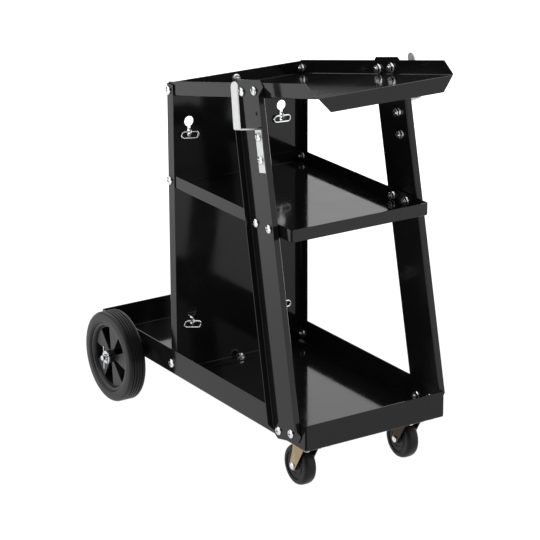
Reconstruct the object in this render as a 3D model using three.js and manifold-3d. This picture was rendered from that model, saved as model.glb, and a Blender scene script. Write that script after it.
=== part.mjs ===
import * as THREE from 'three';
import { mergeVertices } from 'three/addons/utils/BufferGeometryUtils.js';
import Module from 'manifold-3d';

const wasm = await Module();
wasm.setup();

// Welding cart in millimetres: +Z up, the casters and the tray's lip face -Y, width along X.
// "Left" is the -X side.

// Sheet steel and clearances
const SHEET = 1.5;
const BEND = 1.8;
const GAP = 0.3;

// Bottom tray
const TRAY_HALF = 148.5;
const TRAY_FRONT = -345.25;
const TRAY_REAR = 370.9;
const TRAY_Z = 93.5;
const TRAY_TOP = 142;

// Back panel with its forward flanges and four keyholes
const PANEL_HALF = 146;
const PANEL_REAR = 112.75;
const PANEL_FRONT = PANEL_REAR - SHEET;
const PANEL_FLANGE = 22.4;
const PANEL_FOOT = 25.5;
const PANEL_TOP = 653;
const KEY_X = 100.5;
const KEY_UPPER_Z = 574.4;
const KEY_LOWER_Z = 206.4;
const KEY_R = 9.6;
const KEY_SLOT = 6.4;
const KEY_DROP = 29.9;

// Middle shelf
const SHELF_HALF = 144;
const SHELF_FRONT = -293.45;
const SHELF_Z = 459;
const SHELF_TOP = 482.5;

// Top tray, rising towards the front
const TOP_HALF = 143.2;
const TOP_TILT = THREE.MathUtils.degToRad(11.8);
const TOP_REAR_Z = 628.4;
const TOP_LENGTH = 487;
const TOP_WALL = 26.2;
const TOP_WALL_FRONT = 460;
const TOP_LIP = 25;
const TOP_LIP_HALF = 137;
const TOP_LIP_LOW_HALF = 114.5;

// Front legs: channels that open outwards and lean back
const LEG_LEAN = THREE.MathUtils.degToRad(11.8);
const LEG_SPLAY = THREE.MathUtils.degToRad(0.534);
const LEG_FOOT = new THREE.Vector3(149.2, -292.15, 97.3);
const LEG_LENGTH = 634;
const LEG_HALF = 44;
const LEG_FLANGE = 12.5;
const LEG_CORNER = 11;
const LEG_FLANGE_CUT = 13;
const LEG_HOLE = { across: 14.5, along: 576, r: 3.4 };

// Cable hooks of flat bar
const HOOK_BAR = 2.5;
const HOOK_WIDTH = 20;
const HOOK_ACROSS = 17.3;
const HOOK_LOW = 474;
const HOOK_BEND_S = 550;
const HOOK_REACH = 44.9;
const HOOK_RISE = 5;
const HOOK_LEAN_IN = 4;
const HOOK_TOP = 636.4;

// Rear wheels: tyre and rim are turned profiles, the rim's hub reaches in to the tray
const WHEEL_R = 87.5;
const WHEEL_X = 181.7;
const WHEEL_Y = 261.9;
const WHEEL_FACETS = 26;
const TREAD_HALF = 13;
const TYRE_HALF = 18.3;
const GROOVES = [2.9, 8.7];
const GROOVE_HALF = 1.2;
const GROOVE_DEPTH = 2.1;
const BEAD_R = 66;
const RIM_HALF = 14.6;
const RIM_LIP = 4.7;
const WEB_R = 57.5;
const WEB = 3.5;
const WEB_OUT = 9;
const BACK_IN = 11.5;
const HUB_R = 12.5;
const HUB_OUT = 18.8;
const HUB_IN = 32.2;
const SPOKES = 5;
const WINDOW_AT = THREE.MathUtils.degToRad(66.9);
const WINDOW_HALF = THREE.MathUtils.degToRad(16.3);
const WINDOW_IN_R = 13.5;
const WINDOW_OUT_R = 56.5;

// Rear axle with its washers and split pins
const AXLE_R = 5;
const AXLE_END = 212;
const PIN_X = 207;
const PIN_R = 1.6;
const PIN_TURN = THREE.MathUtils.degToRad(33);
const WASHER_R = 12.6;
const WASHER_X = 201.2;
const SADDLE_X = 135;
const SADDLE_HALF = 12;
const SADDLE_REACH = 24;

// Swivel casters, each bolted through the tray floor at the four corners of its plate
const CASTER_R = 37.5;
const CASTER_X = 111;
const CASTER_AXLE_Y = -271.5;
const CASTER_PIVOT_Y = -294.7;
const CASTER_HALF = 12;
const CASTER_HUB_HALF = 13.6;
const PLATE_HALF_X = 31;
const PLATE_HALF_Y = 40;
const PLATE_CORNER = 6;
const PLATE = 2.5;
const RACE_R = 22;
const KING_PIN_R = 5;
const BOLT_X = 22;
const BOLT_Y = 31;
const SADDLE_BOLT_Y = 15.5;
const BOLT_HOLE_R = 3.3;

// Bottle chains of round wire links
const WIRE_R = 2;
const LINK_PITCH = 32;
const LINK_HALF_WIDTH = 6;
const LINKS_FREE = 9;
const CHAIN_Y = 132.2;
const CHAIN_HALF_SPAN = KEY_X + 1.2;

const black = { color: 0x1b1c1e, roughness: 0.22, metalness: 0.1 };
const zinc = { color: 0xc6c9cc, roughness: 0.35, metalness: 0.9 };
const yellowZinc = { color: 0xb7a681, roughness: 0.4, metalness: 0.8 };
const rubber = { color: 0x2c2c2d, roughness: 0.8, metalness: 0 };
const plastic = { color: 0x232425, roughness: 0.5, metalness: 0 };

const cart = new THREE.Group();
cart.name = 'welding_cart';

// Solids and booleans

function solid(geometry) {
  const bare = geometry.clone();
  bare.deleteAttribute('normal');
  bare.deleteAttribute('uv');
  const merged = mergeVertices(bare, 1e-4);
  return new wasm.Manifold(new wasm.Mesh({
    numProp: 3,
    vertProperties: new Float32Array(merged.attributes.position.array),
    triVerts: new Uint32Array(merged.index.array),
  }));
}

function geometryOf(body) {
  const mesh = body.getMesh();
  const geometry = new THREE.BufferGeometry();
  geometry.setAttribute('position', new THREE.BufferAttribute(mesh.vertProperties, 3));
  geometry.setIndex(new THREE.BufferAttribute(mesh.triVerts, 1));
  return geometry;
}

function moved(body, matrix) {
  return solid(geometryOf(body).applyMatrix4(matrix));
}

function mirrored(body) {
  const geometry = geometryOf(body).applyMatrix4(new THREE.Matrix4().makeScale(-1, 1, 1));
  const index = geometry.index.array;
  for (let i = 0; i < index.length; i += 3) {
    const first = index[i];
    index[i] = index[i + 1];
    index[i + 1] = first;
  }
  return solid(geometry);
}

function joined(bodies) {
  return bodies.reduce((sum, body) => sum.add(body));
}

function addPart(name, body, finish) {
  const mesh = new THREE.Mesh(geometryOf(body), new THREE.MeshStandardMaterial(finish));
  mesh.name = name;
  cart.add(mesh);
}

function addPair(name, leftBody, finish) {
  addPart(`left_${name}`, leftBody, finish);
  addPart(`right_${name}`, mirrored(leftBody), finish);
}

// Prisms along each axis, from outlines given in the other two

function prism(outline, depth, basis, origin) {
  const shape = new THREE.Shape(outline.map(([a, b]) => new THREE.Vector2(a, b)));
  const geometry = new THREE.ExtrudeGeometry(shape, { depth, bevelEnabled: false });
  const matrix = new THREE.Matrix4().makeBasis(...basis).setPosition(origin);
  return solid(geometry.applyMatrix4(matrix));
}

const X = new THREE.Vector3(1, 0, 0);
const Y = new THREE.Vector3(0, 1, 0);
const Z = new THREE.Vector3(0, 0, 1);

function alongX(outlineYZ, x0, x1) {
  return prism(outlineYZ, x1 - x0, [Y, Z, X], new THREE.Vector3(x0, 0, 0));
}

function alongY(outlineXZ, y0, y1) {
  return prism(outlineXZ, y1 - y0, [X, Z, Y.clone().negate()], new THREE.Vector3(0, y1, 0));
}

function alongZ(outlineXY, z0, z1) {
  return prism(outlineXY, z1 - z0, [X, Y, Z], new THREE.Vector3(0, 0, z0));
}

// Points of a round stretch of an outline, about a centre, between two angles
function arc(a, b, r, from, to, steps) {
  return Array.from({ length: steps + 1 }, (_, i) => {
    const angle = from + (to - from) * i / steps;
    return [a + r * Math.cos(angle), b + r * Math.sin(angle)];
  });
}

// A bent sheet's edge outline: its middle line, rounded at each bend, thickened to both sides
function folded(line, thickness, radius = BEND, steps = 3) {
  const points = line.map(([a, b]) => new THREE.Vector2(a, b));
  const left = [];
  const right = [];
  const put = (at, normal) => {
    left.push([at.x + normal.x * thickness / 2, at.y + normal.y * thickness / 2]);
    right.unshift([at.x - normal.x * thickness / 2, at.y - normal.y * thickness / 2]);
  };
  const normalOf = (d) => new THREE.Vector2(-d.y, d.x);
  points.forEach((point, i) => {
    const before = i > 0 ? point.clone().sub(points[i - 1]).normalize() : null;
    const after = i < points.length - 1 ? points[i + 1].clone().sub(point).normalize() : null;
    if (!before || !after) {
      put(point, normalOf(before ?? after));
      return;
    }
    const turn = Math.atan2(before.cross(after), before.dot(after));
    const reach = radius * Math.abs(Math.tan(turn / 2));
    const start = point.clone().addScaledVector(before, -reach);
    const centre = start.clone().addScaledVector(normalOf(before), Math.sign(turn) * radius);
    for (let k = 0; k <= steps; k += 1) {
      const angle = turn * k / steps;
      const normal = normalOf(before).rotateAround(new THREE.Vector2(), angle);
      const at = centre.clone().addScaledVector(normal, -Math.sign(turn) * radius);
      put(at, normal);
    }
  });
  return [...left, ...right];
}

// A profile given for its outer half only, as radius and distance along the axis
function bothSides(half) {
  return [...[...half].reverse().map(([r, a]) => [r, -a]), ...half];
}

function turned(profile, segments) {
  const points = profile.map(([r, a]) => new THREE.Vector2(r, a));
  const geometry = new THREE.LatheGeometry(points, segments);
  return solid(geometry.rotateZ(-Math.PI / 2));
}

// A disc or bar of round section along X, Y or Z
function round(axis, r, from, to, segments = 24) {
  const geometry = new THREE.CylinderGeometry(r, r, to - from, segments);
  geometry.translate(0, (from + to) / 2, 0);
  if (axis === 'x') geometry.rotateZ(-Math.PI / 2);
  if (axis === 'z') geometry.rotateX(Math.PI / 2);
  return solid(geometry);
}

function shift(x, y, z) {
  return new THREE.Matrix4().makeTranslation(x, y, z);
}

// Open tray folded from one sheet: the side walls stand between the end walls,
// each corner has a relief notch at the floor and an open seam above it.
function openTray(half, front, rear, z, top) {
  const mid = SHEET / 2;
  const relief = 4;
  const sides = alongY(
    folded([[-half + mid, top], [-half + mid, z + mid], [half - mid, z + mid], [half - mid, top]], SHEET),
    front + SHEET + 0.4,
    rear - SHEET - 0.4,
  );
  const wallMask = alongY(
    [[-half, top + 1], [-half, z + relief], [-half + relief, z + relief], [-half + relief, z - 1],
      [half - relief, z - 1], [half - relief, z + relief], [half, z + relief], [half, top + 1]],
    front - 1,
    rear + 1,
  );
  const frontWall = alongX(
    folded([[front + mid, top], [front + mid, z + mid], [front + 22, z + mid]], SHEET), -half, half);
  const rearWall = alongX(
    folded([[rear - mid, top], [rear - mid, z + mid], [rear - 22, z + mid]], SHEET), -half, half);
  return joined([sides, frontWall.intersect(wallMask), rearWall.intersect(wallMask)]);
}

// Bolt holes through the tray floor, left half: four over the caster, two over the axle saddle
function boltHoles() {
  const corners = [[-BOLT_X, -BOLT_Y], [BOLT_X, -BOLT_Y], [-BOLT_X, BOLT_Y], [BOLT_X, BOLT_Y]];
  const places = [
    ...corners.map(([x, y]) => [x - CASTER_X, y + CASTER_PIVOT_Y]),
    [-SADDLE_X, WHEEL_Y - SADDLE_BOLT_Y],
    [-SADDLE_X, WHEEL_Y + SADDLE_BOLT_Y],
  ];
  const hole = round('z', BOLT_HOLE_R, TRAY_Z - 10, TRAY_Z + 10, 8);
  return joined(places.map(([x, y]) => moved(hole, shift(x, y, 0))));
}

const leftHoles = boltHoles();
const tray = openTray(TRAY_HALF, TRAY_FRONT, TRAY_REAR, TRAY_Z, TRAY_TOP);
addPart('bottom_tray', tray.subtract(leftHoles).subtract(mirrored(leftHoles)), black);
addPart('middle_shelf', openTray(SHELF_HALF, SHELF_FRONT, PANEL_FRONT - GAP, SHELF_Z, SHELF_TOP), black);

// Back panel: a tall sheet, both sides and the foot bent forwards, keyholes for the chains
function keyhole(x, z) {
  const half = KEY_SLOT / 2;
  const meet = Math.asin(half / KEY_R);
  const outline = [
    ...arc(x, z, KEY_R, -Math.PI / 2 + meet, 1.5 * Math.PI - meet, 16),
    ...arc(x, z - KEY_DROP + half, half, Math.PI, 2 * Math.PI, 4),
  ];
  return alongY(outline, PANEL_FRONT - 2, PANEL_REAR + 2);
}

function backPanel() {
  const mid = SHEET / 2;
  const bottom = TRAY_Z + SHEET + GAP;
  const side = PANEL_HALF - mid;
  const back = PANEL_REAR - mid;
  const edge = PANEL_REAR - PANEL_FLANGE;
  const sheet = alongZ(
    folded([[-side, edge], [-side, back], [side, back], [side, edge]], SHEET), bottom + 5, PANEL_TOP);
  const foot = alongX(
    folded([[back, bottom + 20], [back, bottom + mid], [PANEL_REAR - PANEL_FOOT, bottom + mid]], SHEET),
    -PANEL_HALF + 6, PANEL_HALF - 6);
  let panel = sheet.add(foot);
  for (const x of [-KEY_X, KEY_X]) {
    for (const z of [KEY_UPPER_Z, KEY_LOWER_Z]) {
      panel = panel.subtract(keyhole(x, z));
    }
  }
  return panel;
}

addPart('back_panel', backPanel(), black);

// Top tray, drawn with its floor level, then tilted: rear wall upright when tilted,
// side walls slanted at the front, front lip bent down with tapered ends
function topTray() {
  const mid = SHEET / 2;
  const half = TOP_HALF - mid;
  const rearHeight = PANEL_TOP - TOP_REAR_Z;
  const rearTop = [-Math.sin(TOP_TILT) * rearHeight - mid, Math.cos(TOP_TILT) * rearHeight];
  const walls = alongY(
    folded([[-half, TOP_WALL], [-half, mid], [half, mid], [half, TOP_WALL]], SHEET), -TOP_LENGTH, 0);
  const lean = Math.tan(TOP_TILT);
  const clear = SHEET + 0.5;
  const wallMask = alongX(
    [[-clear, 0], [-clear - lean * TOP_WALL, TOP_WALL + 1], [-TOP_WALL_FRONT, TOP_WALL + 1],
      [-TOP_WALL_FRONT, TOP_WALL], [-TOP_LENGTH + 6, SHEET + BEND], [-TOP_LENGTH + 6, -1], [-clear, -1]],
    -TOP_HALF - 1, TOP_HALF + 1);
  const lengthwise = alongX(
    folded([rearTop, [-mid, mid], [-TOP_LENGTH + mid, mid], [-TOP_LENGTH + mid, -TOP_LIP]], SHEET),
    -TOP_HALF, TOP_HALF);
  const frontMask = alongY(
    [[-TOP_HALF, TOP_WALL + 5], [-TOP_HALF, 4], [-TOP_HALF + 4, 4], [-TOP_HALF + 4, 0],
      [-TOP_LIP_HALF, 0], [-TOP_LIP_LOW_HALF, -TOP_LIP - 1], [TOP_LIP_LOW_HALF, -TOP_LIP - 1],
      [TOP_LIP_HALF, 0], [TOP_HALF - 4, 0], [TOP_HALF - 4, 4], [TOP_HALF, 4], [TOP_HALF, TOP_WALL + 5]],
    -TOP_LENGTH - 5, 5);
  const cornerMask = alongZ(
    [[-TOP_HALF, 5], [-TOP_HALF, -TOP_LENGTH + 6], [-TOP_LIP_HALF, -TOP_LENGTH],
      [-TOP_LIP_HALF, -TOP_LENGTH - 5], [TOP_LIP_HALF, -TOP_LENGTH - 5], [TOP_LIP_HALF, -TOP_LENGTH],
      [TOP_HALF, -TOP_LENGTH + 6], [TOP_HALF, 5]],
    -TOP_LIP - 5, TOP_WALL + 5);
  const tray = walls.intersect(wallMask).add(lengthwise.intersect(frontMask)).intersect(cornerMask);
  const place = shift(0, PANEL_FRONT - GAP, TOP_REAR_Z)
    .multiply(new THREE.Matrix4().makeRotationX(-TOP_TILT));
  return moved(tray, place);
}

addPart('top_tray', topTray(), black);

// Front legs and cable hooks are drawn in the leg's own frame:
// X outwards from the web, Y towards the front, Z up along the leg.
function legFrame() {
  return shift(-LEG_FOOT.x, LEG_FOOT.y, LEG_FOOT.z)
    .multiply(new THREE.Matrix4().makeRotationY(LEG_SPLAY))
    .multiply(new THREE.Matrix4().makeRotationX(-LEG_LEAN))
    .multiply(new THREE.Matrix4().makeRotationZ(Math.PI));
}

function leg() {
  const mid = SHEET / 2;
  const edge = LEG_HALF - mid;
  const channel = alongZ(
    folded([[LEG_FLANGE, -edge], [mid, -edge], [mid, edge], [LEG_FLANGE, edge]], SHEET), 0, LEG_LENGTH);
  const narrow = LEG_HALF - LEG_CORNER;
  const webOutline = alongX(
    [[-narrow, 0], [narrow, 0], [LEG_HALF, LEG_CORNER], [LEG_HALF, LEG_LENGTH - LEG_CORNER],
      [narrow, LEG_LENGTH], [-narrow, LEG_LENGTH], [-LEG_HALF, LEG_LENGTH - LEG_CORNER],
      [-LEG_HALF, LEG_CORNER]],
    -1, LEG_FLANGE + 1);
  const low = LEG_CORNER + 2;
  const tip = low + LEG_FLANGE_CUT;
  const flangeOutline = alongY(
    [[-1, -1], [SHEET, -1], [SHEET, low], [LEG_FLANGE + 0.1, tip],
      [LEG_FLANGE + 0.1, LEG_LENGTH - tip], [SHEET, LEG_LENGTH - low], [SHEET, LEG_LENGTH + 1],
      [-1, LEG_LENGTH + 1]],
    -LEG_HALF - 1, LEG_HALF + 1);
  const hole = moved(round('x', LEG_HOLE.r, -2, 4, 16), shift(0, LEG_HOLE.across, LEG_HOLE.along));
  return channel.intersect(webOutline).intersect(flangeOutline).subtract(hole);
}

function cableHook() {
  const half = HOOK_WIDTH / 2;
  const inner = SHEET + GAP + HOOK_BAR / 2;
  const outer = SHEET + HOOK_REACH - HOOK_BAR / 2;
  const bar = alongY(
    folded(
      [[inner, HOOK_LOW], [inner, HOOK_BEND_S], [outer, HOOK_BEND_S + HOOK_RISE],
        [outer - HOOK_LEAN_IN, HOOK_TOP]],
      HOOK_BAR, 2.5, 4),
    HOOK_ACROSS - half, HOOK_ACROSS + half);
  const outline = [
    [HOOK_ACROSS - half, HOOK_LOW],
    [HOOK_ACROSS + half, HOOK_LOW],
    ...arc(HOOK_ACROSS, HOOK_TOP - half, half, 0, Math.PI, 12),
  ];
  return bar.intersect(alongX(outline, -1, outer + HOOK_BAR));
}

addPair('leg', moved(leg(), legFrame()), black);
addPair('cable_hook', moved(cableHook(), legFrame()), zinc);

// Rear axle under the tray floor, held up by two saddle straps
const atAxle = shift(0, WHEEL_Y, WHEEL_R);

function axle() {
  const r = AXLE_R;
  const half = [[r, AXLE_END - 1], [r - 1, AXLE_END], [0, AXLE_END]];
  const rod = turned(bothSides(half), 16);
  const holes = [-PIN_X, PIN_X].map((x) => moved(round('z', PIN_R + 0.35, -10, 10, 10), shift(x, 0, 0)));
  return moved(rod.subtract(joined(holes)), atAxle);
}

function axleSaddle() {
  const strap = 2;
  const r = AXLE_R + GAP + strap / 2;
  const top = TRAY_Z - GAP - strap / 2 - WHEEL_R;
  const line = [[-SADDLE_REACH, top], [-r, top]];
  for (let k = 0; k <= 8; k += 1) {
    const angle = Math.PI + Math.PI * k / 8;
    line.push([r * Math.cos(angle), r * Math.sin(angle)]);
  }
  line.push([r, top], [SADDLE_REACH, top]);
  const strip = alongX(folded(line, strap, 0.2, 1), -SADDLE_X - SADDLE_HALF, -SADDLE_X + SADDLE_HALF);
  return moved(strip, atAxle);
}

addPart('rear_axle', axle(), zinc);
addPair('axle_saddle', axleSaddle(), black);

// Rear wheels: grooved tyre on a hollow rim, whose outer web has five windows between the spokes
function tyre() {
  const tread = GROOVES.flatMap((at) => (
    [[WHEEL_R, at - GROOVE_HALF], [WHEEL_R - GROOVE_DEPTH, at], [WHEEL_R, at + GROOVE_HALF]]));
  const sidewall = [
    [WHEEL_R, TREAD_HALF],
    [WHEEL_R - 2.5, TYRE_HALF - 1.9],
    [WHEEL_R - 7.5, TYRE_HALF - 0.4],
    [BEAD_R + 6, TYRE_HALF],
    [BEAD_R, RIM_HALF + 0.4],
  ];
  const profile = bothSides([...tread, ...sidewall]);
  return turned([...profile, profile[0]], WHEEL_FACETS);
}

// A window is a sector from the hub to the barrel
function rimWindow(at) {
  const from = at - WINDOW_HALF;
  const to = at + WINDOW_HALF;
  const outline = [...arc(0, 0, WINDOW_OUT_R, from, to, 4), ...arc(0, 0, WINDOW_IN_R, to, from, 1)];
  return alongX(outline, -WEB_OUT - 4, -WEB_OUT + WEB + 2);
}

function rim() {
  const bore = AXLE_R + 0.4;
  const outside = BEAD_R - GAP;
  const profile = [
    [bore, -HUB_OUT],
    [HUB_R - 2, -HUB_OUT],
    [HUB_R - 0.5, -HUB_OUT + 1.8],
    [HUB_R, -WEB_OUT],
    [WEB_R, -WEB_OUT],
    [outside - RIM_LIP, -RIM_HALF],
    [outside, -RIM_HALF],
    [outside, RIM_HALF],
    [outside - RIM_LIP, RIM_HALF],
    [WEB_R, BACK_IN],
    [HUB_R, BACK_IN],
    [HUB_R - 1.5, HUB_IN],
    [bore, HUB_IN],
  ];
  const body = turned([...profile, profile[0]], WHEEL_FACETS);
  const front = -WEB_OUT + WEB;
  const back = BACK_IN - WEB;
  const hollow = [[HUB_R, front], [WEB_R, front], [WEB_R, back], [HUB_R, back]];
  const cavity = turned([...hollow, hollow[0]], WHEEL_FACETS);
  const windows = Array.from({ length: SPOKES }, (_, k) => rimWindow(WINDOW_AT + 2 * Math.PI * k / SPOKES));
  return body.subtract(joined([cavity, ...windows]));
}

// Plain washer and split pin at each axle end
function washer() {
  const bore = AXLE_R + GAP;
  const face = -WASHER_X;
  const out = face - 2;
  const profile = [[bore, out], [WASHER_R - 0.6, out], [WASHER_R, out + 0.6], [WASHER_R, face], [bore, face]];
  return turned([...profile, profile[0]], 16);
}

function splitPin() {
  const eyeZ = 19;
  const stem = round('z', PIN_R, -22, eyeZ - 3, 10);
  const ring = new THREE.TorusGeometry(4, 1.4, 6, 10).rotateY(Math.PI / 2).rotateZ(-PIN_TURN);
  const eye = solid(ring.translate(0, 0, eyeZ));
  return moved(stem.add(eye), shift(-PIN_X, 0, 0));
}

const atWheel = shift(-WHEEL_X, WHEEL_Y, WHEEL_R);
addPair('tyre', moved(tyre(), atWheel), rubber);
addPair('wheel_rim', moved(rim(), atWheel), plastic);
addPair('axle_washer', moved(washer(), atAxle), zinc);
addPair('split_pin', moved(splitPin(), atAxle), zinc);

// Swivel casters: bolted plate with its king pin, pressed fork, ringed wheel, rivet axle.
// Drawn round the pivot line, with the wheel trailing towards the rear.
const TRAIL = CASTER_AXLE_Y - CASTER_PIVOT_Y;
const FORK_X = 16;
const FORK_SHEET = 2.2;
const RIVET_R = 4;
const BRIDGE_Z = 78.9;
const RACE_Z = 83.2;
const atPivot = shift(-CASTER_X, CASTER_PIVOT_Y, 0);
const atCasterAxle = shift(-CASTER_X, CASTER_AXLE_Y, CASTER_R);

function casterPlate() {
  const top = TRAY_Z - GAP;
  const a = PLATE_HALF_X - PLATE_CORNER;
  const b = PLATE_HALF_Y - PLATE_CORNER;
  const corners = [[a, b], [-a, b], [-a, -b], [a, -b]];
  const outline = corners.flatMap(([x, y], i) => (
    arc(x, y, PLATE_CORNER, i * Math.PI / 2, (i + 1) * Math.PI / 2, 3)));
  const plate = alongZ(outline, top - PLATE, top);
  const race = round('z', RACE_R, RACE_Z + GAP, top - 2, 16);
  const pin = round('z', KING_PIN_R, BRIDGE_Z - 4, RACE_Z + 2, 12);
  const head = round('z', KING_PIN_R + 3.5, BRIDGE_Z - 5, BRIDGE_Z - FORK_SHEET / 2 - 0.6, 12);
  return moved(joined([plate, race, pin, head]), atPivot);
}

function casterFork() {
  const low = 24;
  const sheet = alongY(
    folded([[-FORK_X, low], [-FORK_X, BRIDGE_Z], [FORK_X, BRIDGE_Z], [FORK_X, low]], FORK_SHEET, 3), -30, 50);
  const side = [
    [-19, BRIDGE_Z + 2],
    [-19, 74],
    ...arc(TRAIL, CASTER_R, 8.8, 1.2 * Math.PI, 2 * Math.PI, 8),
    [22, 70],
    [22, BRIDGE_Z + 2],
  ];
  const race = round('z', RACE_R - 1.5, BRIDGE_Z, RACE_Z, 16);
  const pinHole = round('z', KING_PIN_R + 0.5, BRIDGE_Z - 10, RACE_Z + 10, 12);
  const axleHole = moved(round('x', RIVET_R + GAP, -25, 25, 10), shift(0, TRAIL, CASTER_R));
  return sheet.intersect(alongX(side, -25, 25)).add(race).subtract(pinHole).subtract(axleHole);
}

function casterWheel() {
  const half = [
    [CASTER_R, CASTER_HALF - 4],
    [CASTER_R - 3.5, CASTER_HALF],
    [CASTER_R - 10.5, CASTER_HALF],
    [CASTER_R - 11.5, CASTER_HALF - 1.4],
    [CASTER_R - 16.5, CASTER_HALF - 1.4],
    [CASTER_R - 17.5, CASTER_HALF],
    [9.8, CASTER_HALF],
    [9, CASTER_HUB_HALF],
    [RIVET_R + 0.4, CASTER_HUB_HALF],
  ];
  const profile = bothSides(half);
  return turned([...profile, profile[0]], 20);
}

function casterAxle() {
  const out = FORK_X + FORK_SHEET / 2 + GAP;
  const headR = RIVET_R + 2.2;
  return turned(
    bothSides([[RIVET_R, out], [headR, out], [headR, out + 1], [headR - 2.7, out + 2.6], [0, out + 3]]), 12);
}

addPair('caster_plate', casterPlate(), yellowZinc);
addPair('caster_fork', moved(casterFork(), atPivot), yellowZinc);
addPair('caster_wheel', moved(casterWheel(), atCasterAxle), rubber);
addPair('caster_axle', moved(casterAxle(), atCasterAxle), zinc);

// Chain link: a wire stadium, drawn along X and lying in the XZ plane.
// Each half is one straight step and a half-round end of equal steps.
const END_STEPS = 4;
const WIRE_SIDES = 6;

class Stadium extends THREE.Curve {
  getPoint(t) {
    const straight = LINK_PITCH + 2 * WIRE_R - 2 * LINK_HALF_WIDTH;
    const halves = (t % 1) * 2;
    const flip = halves >= 1 ? -1 : 1;
    const step = (halves % 1) * (END_STEPS + 1);
    const along = straight * (0.5 - Math.min(step, 1));
    const angle = Math.PI / 2 + Math.PI * Math.max(step - 1, 0) / END_STEPS;
    const x = along + LINK_HALF_WIDTH * Math.cos(angle);
    return new THREE.Vector3(flip * x, 0, flip * LINK_HALF_WIDTH * Math.sin(angle));
  }

  getUtoTmapping(u) {
    return u;
  }
}

const linkBody = solid(new THREE.TubeGeometry(new Stadium(), 2 * (END_STEPS + 1), WIRE_R, WIRE_SIDES, true));

// Slopes of a hanging chain's links from its middle outwards: the tangents grow in equal steps.
// The first flat links lie level on the tray floor.
function linkSlopes(count, halfSpan, flat, step) {
  let low = 0;
  let high = 8;
  const slopes = (k) => Array.from({ length: count }, (_, i) => Math.atan(k * Math.max(0, i + 1 - flat)));
  for (let i = 0; i < 60; i += 1) {
    const k = (low + high) / 2;
    const reach = slopes(k).reduce((sum, a) => sum + step * Math.cos(a), step / 2);
    if (reach > halfSpan) low = k;
    else high = k;
  }
  return slopes(low);
}

function hangingChain(endZ, flat) {
  const step = LINK_PITCH + 0.3;
  const side = (LINKS_FREE - 1) / 2;
  const slopes = linkSlopes(side, CHAIN_HALF_SPAN, flat, step);
  const drop = slopes.reduce((sum, a) => sum + step * Math.sin(a), 0);
  const links = [{ x: 0, z: endZ - drop, slope: 0 }];
  let x = step / 2;
  let z = endZ - drop;
  for (const slope of slopes) {
    const dx = step * Math.cos(slope);
    const dz = step * Math.sin(slope);
    links.push({ x: x + dx / 2, z: z + dz / 2, slope });
    links.unshift({ x: -x - dx / 2, z: z + dz / 2, slope: -slope });
    x += dx;
    z += dz;
  }
  return joined(links.map((at, i) => moved(linkBody, shift(at.x, CHAIN_Y, at.z)
    .multiply(new THREE.Matrix4().makeRotationY(-at.slope))
    .multiply(new THREE.Matrix4().makeRotationX(i % 2 === 0 ? 0 : Math.PI / 2)))));
}

// At each keyhole the end link lies flat on the panel's front face and holds the next link,
// which stands on edge in the slot and reaches out behind the panel.
const END_BELOW = 25.4;
const END_Y = PANEL_FRONT - WIRE_R - GAP;

function chainEnd(x, keyZ, tilt) {
  const place = shift(x, END_Y, keyZ - END_BELOW)
    .multiply(new THREE.Matrix4().makeRotationY(THREE.MathUtils.degToRad(tilt)));
  return moved(linkBody, place);
}

function slotLink(x, keyZ) {
  const centre = END_Y - WIRE_R - GAP + LINK_PITCH / 2;
  return moved(linkBody, shift(x, centre, keyZ - END_BELOW + LINK_HALF_WIDTH)
    .multiply(new THREE.Matrix4().makeRotationZ(Math.PI / 2)));
}

for (const [level, keyZ, flat] of [['upper', KEY_UPPER_Z, 0], ['lower', KEY_LOWER_Z, 1]]) {
  const hangZ = keyZ - END_BELOW + WIRE_R + GAP;
  addPart(`${level}_chain`, hangingChain(hangZ, flat), zinc);
  for (const [side, x, tilt] of [['left', -KEY_X, 6], ['right', KEY_X, 2]]) {
    addPart(`${level}_${side}_end_link`, chainEnd(x, keyZ, tilt), zinc);
    addPart(`${level}_${side}_slot_link`, slotLink(x, keyZ), zinc);
  }
}

export default cart;
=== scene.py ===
import math

import bpy
from mathutils import Matrix, Quaternion, Vector


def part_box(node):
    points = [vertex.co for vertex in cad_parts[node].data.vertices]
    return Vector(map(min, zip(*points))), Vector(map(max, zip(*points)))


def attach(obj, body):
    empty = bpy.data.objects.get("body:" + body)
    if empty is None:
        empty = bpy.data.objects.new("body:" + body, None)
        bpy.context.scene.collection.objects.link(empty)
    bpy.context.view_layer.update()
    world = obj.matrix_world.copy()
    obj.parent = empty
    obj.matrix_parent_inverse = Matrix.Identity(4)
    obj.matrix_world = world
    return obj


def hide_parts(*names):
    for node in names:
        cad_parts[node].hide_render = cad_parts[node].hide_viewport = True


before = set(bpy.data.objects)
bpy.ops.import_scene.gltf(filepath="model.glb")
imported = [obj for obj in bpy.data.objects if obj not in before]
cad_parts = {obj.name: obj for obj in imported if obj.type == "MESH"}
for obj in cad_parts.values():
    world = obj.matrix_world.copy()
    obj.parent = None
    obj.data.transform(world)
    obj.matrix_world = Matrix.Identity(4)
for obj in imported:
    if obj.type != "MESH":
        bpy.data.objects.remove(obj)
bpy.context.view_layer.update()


# The stage: a lit white floor under a white dome, as on a light table in a studio. The floor is
# less bright close to the cart, the dome leaves a dark gap along the horizon behind it, and the
# room behind the camera is dim. The lens is a long one, above the cart's left front corner.
MM = 0.001
FLOOR_SIZE = 40.0
NEAR_GLOW, NEAR_END = 1.0, 0.4
FAR_GLOW, FAR_START = 1.6, 2.0
FADED_GLOW, FADE_START, FADE_END = 0.02, 5.0, 7.5
DOME_LIGHT = 1.6
GAP_LIGHT = 0.03
GAP_TOP, DOME_FOOT = math.radians(11), math.radians(18)
GAP_TOWARDS = Vector((0.0, 1.0, 0.0))
GAP_EDGE, GAP_MIDDLE = math.radians(54), math.radians(40)
ROOM_LIGHT = 0.2
ROOM_EDGE, ROOM_MIDDLE = math.radians(48), math.radians(20)
CAMERA_AZIMUTH = math.radians(-32.83)
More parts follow.
